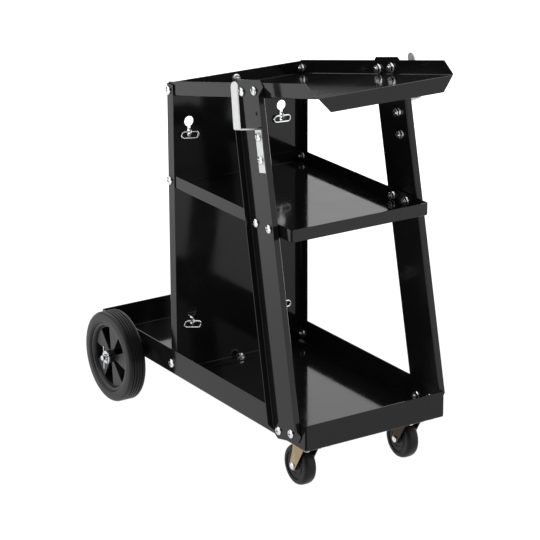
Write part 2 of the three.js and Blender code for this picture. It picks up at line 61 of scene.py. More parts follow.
CAMERA_ELEVATION = math.radians(18.98)
CAMERA_ROLL = math.radians(-0.224)
CAMERA_DISTANCE = 4.6425
CAMERA_AIM = Vector((0.00699, 0.00759, 0.29692))
CAMERA_LENS = 167.61


def linear(hex_colour):
    parts = [int(hex_colour[i:i + 2], 16) / 255 for i in (1, 3, 5)]
    return [c / 12.92 if c <= 0.04045 else ((c + 0.055) / 1.055) ** 2.4 for c in parts] + [1.0]


def add(tree, kind, links=None, values=None, **settings):
    made = tree.nodes.new("ShaderNode" + kind)
    for name, value in settings.items():
        setattr(made, name, value)
    for socket, value in (values or {}).items():
        made.inputs[socket].default_value = value
    for socket, source in (links or {}).items():
        tree.links.new(source, made.inputs[socket])
    return made


def new_finish(name, **values):
    finish = bpy.data.materials.new(name)
    finish.use_nodes = True
    shader = finish.node_tree.nodes["Principled BSDF"]
    for socket, value in values.items():
        shader.inputs[socket.replace("_", " ")].default_value = value
    return finish, finish.node_tree, shader


def eased(tree, source, start, end, start_value, end_value):
    return add(tree, "MapRange", {"Value": source}, {
        "From Min": start, "From Max": end, "To Min": start_value, "To Max": end_value,
    }, interpolation_type="SMOOTHSTEP").outputs["Result"]


def lit_acrylic():
    # Opal acrylic lit from below: matt white with a faint tooth of about 3 mm.
    finish, tree, shader = new_finish("lit_acrylic", Roughness=0.9, Specular_IOR_Level=0.0)
    shader.inputs["Emission Color"].default_value = linear("#ffffff")
    place = add(tree, "TexCoord").outputs["Object"]
    away = add(tree, "VectorMath", {0: place}, operation="LENGTH").outputs["Value"]
    heading = add(tree, "VectorMath", {0: place}, operation="NORMALIZE").outputs["Vector"]
    facing_gap = add(tree, "VectorMath", {0: heading}, {1: GAP_TOWARDS}, operation="DOT_PRODUCT").outputs["Value"]
    in_gap = add(tree, "Math", {
        0: eased(tree, away, FADE_START, FADE_END, 0.0, 1.0),
        1: eased(tree, facing_gap, math.cos(GAP_EDGE), math.cos(GAP_MIDDLE), 0.0, 1.0),
    }, operation="MULTIPLY").outputs["Value"]
    glow = add(tree, "Math", {
        0: eased(tree, away, NEAR_END, FAR_START, NEAR_GLOW, FAR_GLOW),
        1: eased(tree, in_gap, 0.0, 1.0, 1.0, FADED_GLOW / FAR_GLOW),
    }, operation="MULTIPLY")
    tooth = add(tree, "TexNoise", {"Vector": place}, {"Scale": 330.0, "Detail": 2.0})
    tint = add(tree, "ValToRGB", {"Fac": tooth.outputs["Fac"]})
    tint.color_ramp.elements[0].color = linear("#3c3c3c")
    tint.color_ramp.elements[1].color = linear("#404040")
    tree.links.new(tint.outputs["Color"], shader.inputs["Base Color"])
    tree.links.new(glow.outputs["Value"], shader.inputs["Emission Strength"])
    return finish


bpy.ops.object.select_all(action="DESELECT")
bpy.ops.mesh.primitive_plane_add(size=FLOOR_SIZE)
floor = bpy.context.object
floor.name = "floor"
floor.data.materials.append(lit_acrylic())

camera_back = Vector((
    math.sin(CAMERA_AZIMUTH) * math.cos(CAMERA_ELEVATION),
    -math.cos(CAMERA_AZIMUTH) * math.cos(CAMERA_ELEVATION),
    math.sin(CAMERA_ELEVATION),
))
bpy.ops.object.camera_add(
    location=CAMERA_AIM + camera_back * CAMERA_DISTANCE,
    rotation=((-camera_back).to_track_quat("-Z", "Y") @ Quaternion((0, 0, 1), CAMERA_ROLL)).to_euler(),
)
camera = bpy.context.object
camera.data.lens = CAMERA_LENS
camera.data.clip_end = 100.0
bpy.context.scene.camera = camera

studio = bpy.data.worlds.new("white_dome")
studio.use_nodes = True
sky = studio.node_tree
towards = add(sky, "TexCoord").outputs["Object"]
height = add(sky, "SeparateXYZ", {"Vector": towards}).outputs["Z"]
facing_room = add(sky, "VectorMath", {0: towards}, {1: camera_back}, operation="DOT_PRODUCT").outputs["Value"]
facing_gap = add(sky, "VectorMath", {0: towards}, {1: GAP_TOWARDS}, operation="DOT_PRODUCT").outputs["Value"]
in_gap = add(sky, "Math", {
    0: eased(sky, height, math.sin(GAP_TOP), math.sin(DOME_FOOT), 1.0, 0.0),
    1: eased(sky, facing_gap, math.cos(GAP_EDGE), math.cos(GAP_MIDDLE), 0.0, 1.0),
}, operation="MULTIPLY").outputs["Value"]
light = add(sky, "Math", {
    0: eased(sky, in_gap, 0.0, 1.0, DOME_LIGHT, GAP_LIGHT),
    1: eased(sky, facing_room, math.cos(ROOM_EDGE), math.cos(ROOM_MIDDLE), 1.0, ROOM_LIGHT / DOME_LIGHT),
}, operation="MULTIPLY")
sky.nodes["Background"].inputs["Color"].default_value = linear("#ffffff")
sky.links.new(light.outputs["Value"], sky.nodes["Background"].inputs["Strength"])
bpy.context.scene.world = studio
bpy.context.scene.view_settings.view_transform = "Standard"


# Bottom tray: one sheet of 1.5 mm steel with four walls folded up, open at the corner seams.
# It carries the whole cart and is finished like all the sheets, in smooth gloss black powder coat.
EDGE_ROUND = 0.3 * MM
CORNER_ROUND = 3.0 * MM
FOLD_ANGLE = math.radians(50)
SMOOTH_ANGLE = math.radians(40)


def start_edit(piece):
    bpy.ops.object.select_all(action="DESELECT")
    bpy.context.view_layer.objects.active = piece
    piece.select_set(True)
    bpy.ops.object.mode_set(mode="EDIT")
    bpy.ops.mesh.select_all(action="SELECT")


def end_edit():
    bpy.ops.object.mode_set(mode="OBJECT")


def apply_modifier(piece, kind, **settings):
    bpy.ops.object.select_all(action="DESELECT")
    bpy.context.view_layer.objects.active = piece
    piece.select_set(True)
    modifier = piece.modifiers.new(kind.lower(), kind)
    for name, value in settings.items():
        setattr(modifier, name, value)
    bpy.ops.object.modifier_apply(modifier=modifier.name)


def smooth(piece, angle=SMOOTH_ANGLE):
    bpy.ops.object.select_all(action="DESELECT")
    bpy.context.view_layer.objects.active = piece
    piece.select_set(True)
    bpy.ops.object.shade_smooth_by_angle(angle=angle)
    apply_modifier(piece, "WEIGHTED_NORMAL", keep_sharp=True, weight=80)


def cut(piece, cutters):
    for cutter in cutters:
        apply_modifier(piece, "BOOLEAN", operation="DIFFERENCE", object=cutter, solver="EXACT")
        bpy.data.objects.remove(cutter)


def corner_cutters(low, high, radius):
    # Four upright posts with a hollow quarter, which round the outer corners of a box.
    cutters = []
    middle, tall = (low + high) / 2, 2 * (high.z - low.z)
    for x, y in ((low.x, low.y), (low.x, high.y), (high.x, low.y), (high.x, high.y)):
        bpy.ops.object.select_all(action="DESELECT")
        bpy.ops.mesh.primitive_cube_add(size=1.0, location=(x, y, middle.z), scale=(2 * radius, 2 * radius, tall))
        bpy.ops.object.transform_apply(location=True, rotation=True, scale=True)
        post = bpy.context.object
        hollow = (x + math.copysign(radius, middle.x - x), y + math.copysign(radius, middle.y - y), middle.z)
        bpy.ops.object.select_all(action="DESELECT")
        bpy.ops.mesh.primitive_cylinder_add(vertices=48, radius=radius, depth=2 * tall, location=hollow)
        bpy.ops.object.transform_apply(location=True, rotation=True, scale=True)
        cut(post, [bpy.context.object])
        cutters.append(post)
    return cutters


def seam_shade_finish():
    # Painted shade for the open corner seams, standing in for the shadow inside the gap: dead matt black, with soft
    # ripples 4 mm long.
    finish, tree, shader = new_finish("seam_shade_finish", Specular_IOR_Level=0.08)
    place = add(tree, "TexCoord").outputs["Object"]
    ripples = add(tree, "TexNoise", {"Vector": place}, {"Scale": 250.0, "Detail": 2.0})
    tint = add(tree, "ValToRGB", {"Fac": ripples.outputs["Fac"]})
    tint.color_ramp.elements[0].color = linear("#0b0b0c")
    tint.color_ramp.elements[1].color = linear("#111112")
    rough = add(tree, "MapRange", {"Value": ripples.outputs["Fac"]},
                {"From Min": 0.3, "From Max": 0.7, "To Min": 0.55, "To Max": 0.7})
    tree.links.new(tint.outputs["Color"], shader.inputs["Base Color"])
    tree.links.new(rough.outputs["Result"], shader.inputs["Roughness"])
    return finish


painted_seam_shade = seam_shade_finish()


def paint_seam_shade(piece, low, high, radius):
    # The faces at the rounded corners take the dead matt black of painted shade.
    piece.data.materials.append(painted_seam_shade)
    for face in piece.data.polygons:
        in_x = min(face.center.x - low.x, high.x - face.center.x)
        in_y = min(face.center.y - low.y, high.y - face.center.y)
        if max(in_x, in_y) < radius:
            face.material_index = 1


def softened(node, name, finish, edge=EDGE_ROUND, cutters=()):
    # The solid's own shape with its cut edges rounded over, as deburring and paint leave them.
    piece = bpy.data.objects.new(name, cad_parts[node].data.copy())
    bpy.context.scene.collection.objects.link(piece)
    start_edit(piece)
    bpy.ops.mesh.remove_doubles(threshold=0.01 * MM)
    bpy.ops.mesh.dissolve_limited(angle_limit=math.radians(0.3))
    end_edit()
    cut(piece, cutters)
    apply_modifier(piece, "BEVEL", width=edge, segments=3, limit_method="ANGLE", angle_limit=FOLD_ANGLE,
                   use_clamp_overlap=True)
    smooth(piece)
    piece.data.materials.clear()
    piece.data.materials.append(finish)
    return piece


def settle(piece, body, slot, *nodes):
    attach(piece, body)
    if nodes:
        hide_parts(*nodes)


def black_powder_coat():
    # Polyester powder, baked to a hard gloss: mirror reflections over a faint orange peel of 3 mm cells,
    # with broad clouds a few centimetres wide where the film is thicker.
    finish, tree, shader = new_finish("black_powder_coat", IOR=1.5, Specular_IOR_Level=0.225)
    place = add(tree, "TexCoord").outputs["Object"]
    clouds = add(tree, "TexNoise", {"Vector": place}, {"Scale": 22.0, "Detail": 3.0})
    tint = add(tree, "ValToRGB", {"Fac": clouds.outputs["Fac"]})
    tint.color_ramp.elements[0].color = linear("#0f0f10")
    tint.color_ramp.elements[1].color = linear("#141415")
    gloss = add(tree, "MapRange", {"Value": clouds.outputs["Fac"]},
                {"From Min": 0.3, "From Max": 0.7, "To Min": 0.07, "To Max": 0.11})
    peel = add(tree, "TexNoise", {"Vector": place}, {"Scale": 330.0, "Detail": 1.0})
    bump = add(tree, "Bump", {"Height": peel.outputs["Fac"]}, {"Strength": 0.04, "Distance": 0.1 * MM})
    tree.links.new(tint.outputs["Color"], shader.inputs["Base Color"])
    tree.links.new(gloss.outputs["Result"], shader.inputs["Roughness"])
    tree.links.new(bump.outputs["Normal"], shader.inputs["Normal"])
    return finish


powder_coat = black_powder_coat()
tray_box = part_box("bottom_tray")
tray_sheet = softened("bottom_tray", "tray_sheet", powder_coat, cutters=corner_cutters(*tray_box, CORNER_ROUND))
paint_seam_shade(tray_sheet, *tray_box, CORNER_ROUND)
settle(tray_sheet, "frame", "black_powder_coat", "bottom_tray")


# Back panel: a tall sheet, both sides and the foot folded forwards, bolted between the trays' walls.
# Four keyholes hold the ends of the bottle chains.
settle(softened("back_panel", "panel_sheet", powder_coat), "frame", "black_powder_coat", "back_panel")


# Middle shelf: a shallow folded tray, bolted to the panel behind and to both legs in front.
shelf_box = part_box("middle_shelf")
shelf_sheet = softened("middle_shelf", "shelf_sheet", powder_coat, cutters=corner_cutters(*shelf_box, CORNER_ROUND))
paint_seam_shade(shelf_sheet, *shelf_box, CORNER_ROUND)
settle(shelf_sheet, "frame", "black_powder_coat", "middle_shelf")


# Top tray: a shallow folded tray that rises to the front, where its lip is folded down
# with tapered ends and the side walls are cut back at a slant.
settle(softened("top_tray", "top_tray_sheet", powder_coat), "frame", "black_powder_coat", "top_tray")


# Front legs: channels folded from sheet, open outwards and leaning back, with clipped corners.
# Each is bolted to all three tiers, two screws to a tier.
for side in ("left", "right"):
    settle(softened(f"{side}_leg", f"{side}_leg_channel", powder_coat), "frame", "black_powder_coat",
           f"{side}_leg")


# Axle saddles: painted straps under the tray's floor that hold the rear axle up.
for side in ("left", "right"):
    settle(softened(f"{side}_axle_saddle", f"{side}_saddle_strap", powder_coat), "frame", "black_powder_coat",
           f"{side}_axle_saddle")


# Cable hooks: flat bar bent to a step and an upright strap with a rounded tip,
# zinc plated to a light matt grey, each held to its leg by two screws.
def matt_zinc():
    # Barrel zinc plate on rolled bar: pale grey, satin, with faint rolling streaks 0.8 mm apart along the bar.
    finish, tree, shader = new_finish("matt_zinc", Metallic=0.75)
    place = add(tree, "TexCoord").outputs["Object"]
    along = add(tree, "Mapping", {"Vector": place}, {"Scale": (1.0, 1.0, 0.08)})
    streaks = add(tree, "TexNoise", {"Vector": along.outputs["Vector"]}, {"Scale": 1200.0, "Detail": 2.0})
    clouds = add(tree, "TexNoise", {"Vector": place}, {"Scale": 90.0, "Detail": 3.0})
    tint = add(tree, "ValToRGB", {"Fac": clouds.outputs["Fac"]})
    tint.color_ramp.elements[0].color = linear("#c2c3c3")
    tint.color_ramp.elements[1].color = linear("#d2d3d3")
    satin = add(tree, "MapRange", {"Value": streaks.outputs["Fac"]},
                {"From Min": 0.3, "From Max": 0.7, "To Min": 0.42, "To Max": 0.55})
    bump = add(tree, "Bump", {"Height": streaks.outputs["Fac"]}, {"Strength": 0.15, "Distance": 0.05 * MM})
    tree.links.new(tint.outputs["Color"], shader.inputs["Base Color"])
    tree.links.new(satin.outputs["Result"], shader.inputs["Roughness"])
    tree.links.new(bump.outputs["Normal"], shader.inputs["Normal"])
    return finish


hook_zinc = matt_zinc()
for side in ("left", "right"):
    settle(softened(f"{side}_cable_hook", f"{side}_hook_bar", hook_zinc), "frame", "zinc_plate",
           f"{side}_cable_hook")


# Screws and nuts: M8 pan-head screws with a cross recess, heads outside, and flanged hex nuts inside.
# They are bright zinc plated and join every sheet to the next; the caster plates and the axle
# saddles have the same fasteners in M6.
HEAD_R = 8.0 * MM
HEAD_HEIGHT = 5.0 * MM
RECESS_SPAN = 7.6 * MM
RECESS_WIDTH = 1.8 * MM
RECESS_DEPTH = 3.0 * MM
NUT_FLANGE_R = 8.8 * MM
NUT_FLATS = 13.0 * MM
NUT_HEIGHT = 6.5 * MM
SCREW_R = 4.0 * MM
SCREW_TIP = 2.0 * MM
SMALL_SCREW = 0.75
TURN_STEPS = 48
PANEL_BOLT_Y = 105.2 * MM
SHEET = 1.5 * MM
LEG_LEAN = math.radians(11.8)
LEG_SPLAY = math.radians(0.534)
LEG_FOOT = Vector((149.2, -292.15, 97.3)) * MM
HOOK_ACROSS = 17.3 * MM
HOOK_BOLTS = (496 * MM, 536 * MM)
HOOK_FACE = 4.3 * MM
CASTER_BOLT_X = 22.0 * MM
CASTER_BOLT_Y = 31.0 * MM
CASTER_PLATE = 2.5 * MM
SADDLE_BOLT_Y = 15.5 * MM
SADDLE_STRAP = 2.0 * MM
REAR_TOP_Z = 640.0 * MM


def turned(name, profile, steps=TURN_STEPS, closed=False):
    # A profile of (distance along X, radius) points, drawn from one vertex and spun round the X axis.
    bpy.ops.object.select_all(action="DESELECT")
    bpy.ops.mesh.primitive_circle_add(vertices=3, radius=MM)
    piece = bpy.context.object
    piece.name = name
    start_edit(piece)
    bpy.ops.mesh.merge(type="CENTER")
    points = [Vector((along, 0, radius)) for along, radius in profile]
    if closed:
        points.append(points[0])
    bpy.ops.transform.translate(value=points[0])
    for before, after in zip(points, points[1:]):
        bpy.ops.mesh.extrude_vertices_move(TRANSFORM_OT_translate={"value": after - before})
    bpy.ops.mesh.select_all(action="SELECT")
    bpy.ops.mesh.spin(steps=steps, angle=math.tau, center=(0, 0, 0), axis=(1, 0, 0))
    bpy.ops.mesh.select_all(action="SELECT")
    bpy.ops.mesh.remove_doubles(threshold=0.005 * MM)
    bpy.ops.mesh.normals_make_consistent(inside=False)
    end_edit()
    return piece


def joined(pieces):
    bpy.ops.object.select_all(action="DESELECT")
    for piece in pieces:
        piece.select_set(True)
    bpy.context.view_layer.objects.active = pieces[0]
    bpy.ops.object.join()
    return pieces[0]


def copied(piece, name, place):
    copy = bpy.data.objects.new(name, piece.data.copy())
    bpy.context.scene.collection.objects.link(copy)
    copy.data.transform(place)
    if place.determinant() < 0:
        copy.data.flip_normals()
    return copy


def bright_zinc():
    # Bright zinc plate with a blue passivate: a mirror broken by fine handling marks about 2 mm apart.
    finish, tree, shader = new_finish("bright_zinc", Metallic=1.0)
    place = add(tree, "TexCoord").outputs["Object"]
    marks = add(tree, "TexNoise", {"Vector": place}, {"Scale": 500.0, "Detail": 4.0})
    tint = add(tree, "ValToRGB", {"Fac": marks.outputs["Fac"]})
    tint.color_ramp.elements[0].color = linear("#d0d2d4")
    tint.color_ramp.elements[1].color = linear("#e2e4e6")
    shine = add(tree, "MapRange", {"Value": marks.outputs["Fac"]},
                {"From Min": 0.3, "From Max": 0.7, "To Min": 0.12, "To Max": 0.18})
    bump = add(tree, "Bump", {"Height": marks.outputs["Fac"]}, {"Strength": 0.04, "Distance": 0.05 * MM})
    tree.links.new(tint.outputs["Color"], shader.inputs["Base Color"])
    tree.links.new(shine.outputs["Result"], shader.inputs["Roughness"])
    tree.links.new(bump.outputs["Normal"], shader.inputs["Normal"])
    return finish


def pan_head():
    rim = HEAD_HEIGHT * 0.35
    crown = [(HEAD_HEIGHT - (HEAD_HEIGHT - rim) * (1 - math.cos(angle)), HEAD_R * math.sin(angle))
             for angle in [math.radians(degrees) for degrees in (0, 15, 30, 45, 60, 75, 90)]]
    head = turned("pan_head", [*crown, (0.0, HEAD_R * 0.97), (0.0, 0.0)])
    cutters = []
    for size in ((RECESS_SPAN, RECESS_WIDTH), (RECESS_WIDTH, RECESS_SPAN)):
        bpy.ops.object.select_all(action="DESELECT")
        bpy.ops.mesh.primitive_cube_add(size=1.0, location=(HEAD_HEIGHT, 0, 0),
                                        scale=(2 * RECESS_DEPTH, *size))
        bpy.ops.object.transform_apply(location=True, rotation=True, scale=True)
        cutters.append(bpy.context.object)
    cut(head, cutters)
    smooth(head)
    return head


def flange_nut():
    bpy.ops.object.select_all(action="DESELECT")
    bpy.ops.mesh.primitive_cylinder_add(vertices=6, radius=NUT_FLATS / math.sqrt(3), depth=NUT_HEIGHT,
                                        location=(NUT_HEIGHT / 2, 0, 0), rotation=(0, math.pi / 2, 0))
    bpy.ops.object.transform_apply(location=True, rotation=True, scale=True)
    hexagon = bpy.context.object
    apply_modifier(hexagon, "BEVEL", width=0.5 * MM, segments=2, limit_method="ANGLE")
    flange = turned("nut_flange", [(0.0, SCREW_R), (0.0, NUT_FLANGE_R), (0.7 * MM, NUT_FLANGE_R),
                                   (1.8 * MM, NUT_FLATS * 0.55), (1.8 * MM, SCREW_R)], closed=True)
    tip = turned("screw_tip", [(0.0, 0.0), (0.0, SCREW_R), (NUT_HEIGHT + SCREW_TIP - 0.7 * MM, SCREW_R),
                               (NUT_HEIGHT + SCREW_TIP, SCREW_R - 0.7 * MM), (NUT_HEIGHT + SCREW_TIP, 0.0)])
    nut = joined([hexagon, flange, tip])
    nut.name = "flange_nut"
    smooth(nut)
    return nut


def leg_point(outward, forward, up):
    # A point in a leg's own frame: outwards from its web, towards the front, up along the leg.
    turn = (Matrix.Translation((-LEG_FOOT.x, LEG_FOOT.y, LEG_FOOT.z)) @ Matrix.Rotation(LEG_SPLAY, 4, "Y")
            @ Matrix.Rotation(-LEG_LEAN, 4, "X") @ Matrix.Rotation(math.pi, 4, "Z"))
    return turn @ Vector((outward, forward, up))


fastener_zinc = bright_zinc()
head_pattern = pan_head()
head_pattern.data.materials.append(fastener_zinc)
nut_pattern = flange_nut()
nut_pattern.data.materials.append(fastener_zinc)


def web_x(z):
    return LEG_FOOT.x + SHEET - (z - LEG_FOOT.z) * math.tan(LEG_SPLAY)


panel_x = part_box("back_panel")[1].x
tray_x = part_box("bottom_tray")[1].x
shelf_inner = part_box("middle_shelf")[1].x - SHEET
top_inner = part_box("top_tray")[1].x - SHEET
fastener_places = []
for name, y, z, outer, inner in (
    ("panel_top", PANEL_BOLT_Y, 640.5 * MM, panel_x, top_inner),
    ("panel_shelf", PANEL_BOLT_Y, 470.8 * MM, panel_x, shelf_inner),
    ("panel_tray", PANEL_BOLT_Y, 114.5 * MM, tray_x, panel_x - SHEET),
    ("leg_top_rear", -141.4 * MM, 691.9 * MM, web_x(691.9 * MM), top_inner),
    ("leg_top_front", -180.7 * MM, 702.3 * MM, web_x(702.3 * MM), top_inner),
    ("leg_shelf_rear", -188.0 * MM, 468.4 * MM, web_x(468.4 * MM), shelf_inner),
    ("leg_shelf_front", -229.2 * MM, 468.5 * MM, web_x(468.5 * MM), shelf_inner),
    ("leg_tray_rear", -264.0 * MM, 107.1 * MM, web_x(107.1 * MM), tray_x - SHEET),
    ("leg_tray_front", -303.0 * MM, 114.6 * MM, web_x(114.6 * MM), tray_x - SHEET),
):
    for side, sign in (("left", -1), ("right", 1)):
        outwards = Vector((sign, 0, 0))
        fastener_places.append((f"{side}_{name}", Vector((sign * outer, y, z)), Vector((sign * inner, y, z)),
                                outwards, 1.0))
for number, along in enumerate(HOOK_BOLTS, 1):
    for side, sign in (("left", -1), ("right", 1)):
        face = leg_point(HOOK_FACE, HOOK_ACROSS, along)
        back = leg_point(0.0, HOOK_ACROSS, along)
        flip = Matrix.Scale(-sign, 4, (1, 0, 0))
        fastener_places.append((f"{side}_hook_{number}", flip @ face, flip @ back, Vector((sign, 0, 0)), 1.0))
panel_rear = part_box("back_panel")[1].y
rear_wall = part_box("middle_shelf")[1].y - SHEET
fastener_places.append(("rear_top", Vector((0, panel_rear, REAR_TOP_Z)), Vector((0, rear_wall, REAR_TOP_Z)),
                        Vector((0, 1, 0)), 1.0))
foot_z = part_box("back_panel")[0].z + SHEET
tray_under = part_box("bottom_tray")[0].z
fastener_places.append(("panel_foot", Vector((0, 101 * MM, tray_under)), Vector((0, 101 * MM, foot_z)),
                        Vector((0, 0, -1)), 1.0))
floor_z = tray_under + SHEET
for side, sign in (("left", -1), ("right", 1)):
    pivot = sum(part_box(f"{side}_caster_plate"), Vector()) / 2
    plate_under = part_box(f"{side}_caster_plate")[1].z - CASTER_PLATE
    for number, (x, y) in enumerate([(x, y) for x in (-CASTER_BOLT_X, CASTER_BOLT_X)
                                     for y in (-CASTER_BOLT_Y, CASTER_BOLT_Y)], 1):
        fastener_places.append((f"{side}_caster_{number}", Vector((pivot.x + x, pivot.y + y, floor_z)),
                                Vector((pivot.x + x, pivot.y + y, plate_under)), Vector((0, 0, 1)),
                                SMALL_SCREW))
    saddle = sum(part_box(f"{side}_axle_saddle"), Vector()) / 2
    strap_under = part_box(f"{side}_axle_saddle")[1].z - SADDLE_STRAP
    for number, y in enumerate((-SADDLE_BOLT_Y, SADDLE_BOLT_Y), 1):
        fastener_places.append((f"{side}_saddle_{number}", Vector((saddle.x, saddle.y + y, floor_z)),
                                Vector((saddle.x, saddle.y + y, strap_under)), Vector((0, 0, 1)),
                                SMALL_SCREW))
for number, (name, outer, inner, outwards, size) in enumerate(fastener_places):
    spin = Matrix.Rotation(number * 0.7, 4, "X") @ Matrix.Scale(size, 4)
    facing = Vector((1, 0, 0)).rotation_difference(outwards).to_matrix().to_4x4()
    turned_back = Vector((1, 0, 0)).rotation_difference(-outwards).to_matrix().to_4x4()
    settle(copied(head_pattern, f"screw_{name}", Matrix.Translation(outer) @ facing @ spin), "frame", "zinc_plate")
    settle(copied(nut_pattern, f"nut_{name}", Matrix.Translation(inner) @ turned_back @ spin), "frame",
           "zinc_plate")
bpy.data.objects.remove(head_pattern)
bpy.data.objects.remove(nut_pattern)


# Rear axle: a plain steel rod under the tray, chamfered at both ends and zinc plated.
AXLE_R = 5.0 * MM
AXLE_CHAMFER = 1.0 * MM

axle_low, axle_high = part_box("rear_axle")
axle_centre = (axle_low + axle_high) / 2
axle_half = (axle_high.x - axle_low.x) / 2
axle_rod = turned("axle_rod", [
    (-axle_half, 0.0), (-axle_half, AXLE_R - AXLE_CHAMFER), (-axle_half + AXLE_CHAMFER, AXLE_R),
    (axle_half - AXLE_CHAMFER, AXLE_R), (axle_half, AXLE_R - AXLE_CHAMFER), (axle_half, 0.0),
])
axle_rod.data.transform(Matrix.Translation(axle_centre))
smooth(axle_rod)
axle_rod.data.materials.append(fastener_zinc)
settle(axle_rod, "frame", "zinc_plate", "rear_axle")


# Rear tyres: solid rubber moulded onto the rims, with four grooves round the tread,
# rounded shoulders and plain sidewalls that roll in to the bead.
TYRE_STEPS = 96
TYRE_R = 87.5
TREAD_HALF = 14.2 * MM
TREAD_IN_R = 84.0 * MM
SHOULDER_R = 5.0
SHOULDER_AT = 12.8
GROOVE_PLACES = (2.9, 8.7)
GROOVE_SHAPE = ((-1.3, 0.0), (-1.0, 0.4), (-0.6, 1.8), (0.0, 2.1), (0.6, 1.8), (1.0, 0.4), (1.3, 0.0))
SIDEWALL = ((18.0, 79.0), (18.2, 76.0), (18.3, 72.5), (18.1, 69.8), (17.2, 67.6), (15.6, 66.2), (15.0, 66.0))


def tyre_rubber():
    # Black moulding rubber: matt, with mould bloom in soft clouds 2 cm wide and a fine skin of 1 mm grains.
    finish, tree, shader = new_finish("tyre_rubber", Specular_IOR_Level=0.28)
    place = add(tree, "TexCoord").outputs["Object"]
    bloom = add(tree, "TexNoise", {"Vector": place}, {"Scale": 50.0, "Detail": 3.0})
    tint = add(tree, "ValToRGB", {"Fac": bloom.outputs["Fac"]})
    tint.color_ramp.elements[0].color = linear("#09090a")
    tint.color_ramp.elements[1].color = linear("#0e0e0f")
    matt = add(tree, "MapRange", {"Value": bloom.outputs["Fac"]},
               {"From Min": 0.3, "From Max": 0.7, "To Min": 0.3, "To Max": 0.38})
    skin = add(tree, "TexNoise", {"Vector": place}, {"Scale": 1000.0, "Detail": 2.0})
    bump = add(tree, "Bump", {"Height": skin.outputs["Fac"]}, {"Strength": 0.12, "Distance": 0.1 * MM})
    tree.links.new(tint.outputs["Color"], shader.inputs["Base Color"])
    tree.links.new(matt.outputs["Result"], shader.inputs["Roughness"])
    tree.links.new(bump.outputs["Normal"], shader.inputs["Normal"])
    return finish


def shaded_tread():
    # The same rubber on the tread, duller and darker than the sidewall: a duller finish, and a darker tone that is
    # painted shade, with a 2 mm mottle.
    finish, tree, shader = new_finish("shaded_tread", Specular_IOR_Level=0.2)
    place = add(tree, "TexCoord").outputs["Object"]
    tread_mottle = add(tree, "TexNoise", {"Vector": place}, {"Scale": 500.0, "Detail": 3.0})
    tint = add(tree, "ValToRGB", {"Fac": tread_mottle.outputs["Fac"]})
    tint.color_ramp.elements[0].color = linear("#070708")
    tint.color_ramp.elements[1].color = linear("#0c0c0d")
    dull = add(tree, "MapRange", {"Value": tread_mottle.outputs["Fac"]},
               {"From Min": 0.3, "From Max": 0.7, "To Min": 0.34, "To Max": 0.46})
    bump = add(tree, "Bump", {"Height": tread_mottle.outputs["Fac"]}, {"Strength": 0.12, "Distance": 0.1 * MM})
    tree.links.new(tint.outputs["Color"], shader.inputs["Base Color"])
    tree.links.new(dull.outputs["Result"], shader.inputs["Roughness"])
    tree.links.new(bump.outputs["Normal"], shader.inputs["Normal"])
    return finish


def both_sides(half):
    # The other half of a profile given from the middle outwards, in millimetres.
    whole = [(-along, radius) for along, radius in reversed(half)] + list(half)
    return [(along * MM, radius * MM) for along, radius in whole]


tread = [(at + along, TYRE_R - depth) for at in GROOVE_PLACES for along, depth in GROOVE_SHAPE]
shoulder = [(SHOULDER_AT + SHOULDER_R * math.sin(angle), TYRE_R - SHOULDER_R + SHOULDER_R * math.cos(angle))
            for angle in [math.radians(degrees) for degrees in range(0, 81, 16)]]
tyre_pattern = turned("tyre", both_sides([*tread, *shoulder, *SIDEWALL]), TYRE_STEPS, closed=True)
smooth(tyre_pattern)
tyre_pattern.data.materials.append(tyre_rubber())
tyre_pattern.data.materials.append(shaded_tread())
# Tread faces take the darker rubber, painted shade.
for face in tyre_pattern.data.polygons:
    if abs(face.center.x) < TREAD_HALF and math.hypot(face.center.y, face.center.z) > TREAD_IN_R:
        face.material_index = 1
wheel_places = {side: Matrix.Translation(sum(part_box(f"{side}_tyre"), Vector()) / 2) for side in ("left", "right")}
for side, place in wheel_places.items():
    settle(copied(tyre_pattern, f"{side}_tyre_rubber", place), f"{side}_rear_wheel", "tyre_rubber", f"{side}_tyre")
bpy.data.objects.remove(tyre_pattern)


# Rear rims: moulded plastic, a barrel with a long hub and a closed back,
# and an outer disc of five spokes whose windows open on the dark hollow inside.
RIM_PROFILE = ((-14.9, 65.7), (-15.1, 64.8), (-14.9, 62.0), (-14.2, 61.0), (-9.0, 58.2), (8.0, 57.5),
               (8.0, 12.5), (-9.0, 12.5), (-17.2, 12.0), (-18.4, 11.4), (-18.8, 10.5), (-18.8, 5.4),
               (32.2, 5.4), (32.2, 10.4), (31.6, 11.0), (11.5, 12.5), (11.5, 57.5), (14.2, 60.2),
               (14.9, 61.2), (14.9, 65.7))
SPOKE_COUNT = 5
SPOKE_DISC_R = 58.3 * MM
SPOKE_DISC = 3.5 * MM
SPOKE_DISC_AT = -7.25 * MM
WINDOW_AT = math.radians(66.9)
WINDOW_HALF = math.radians(17.2)
WINDOW_IN_R = 13.5 * MM
WINDOW_OUT_R = 57.2 * MM
HOLLOW_FRONT, HOLLOW_BACK = -5.6 * MM, 8.1 * MM
HOLLOW_IN_R, HOLLOW_OUT_R = 12.0 * MM, 57.8 * MM


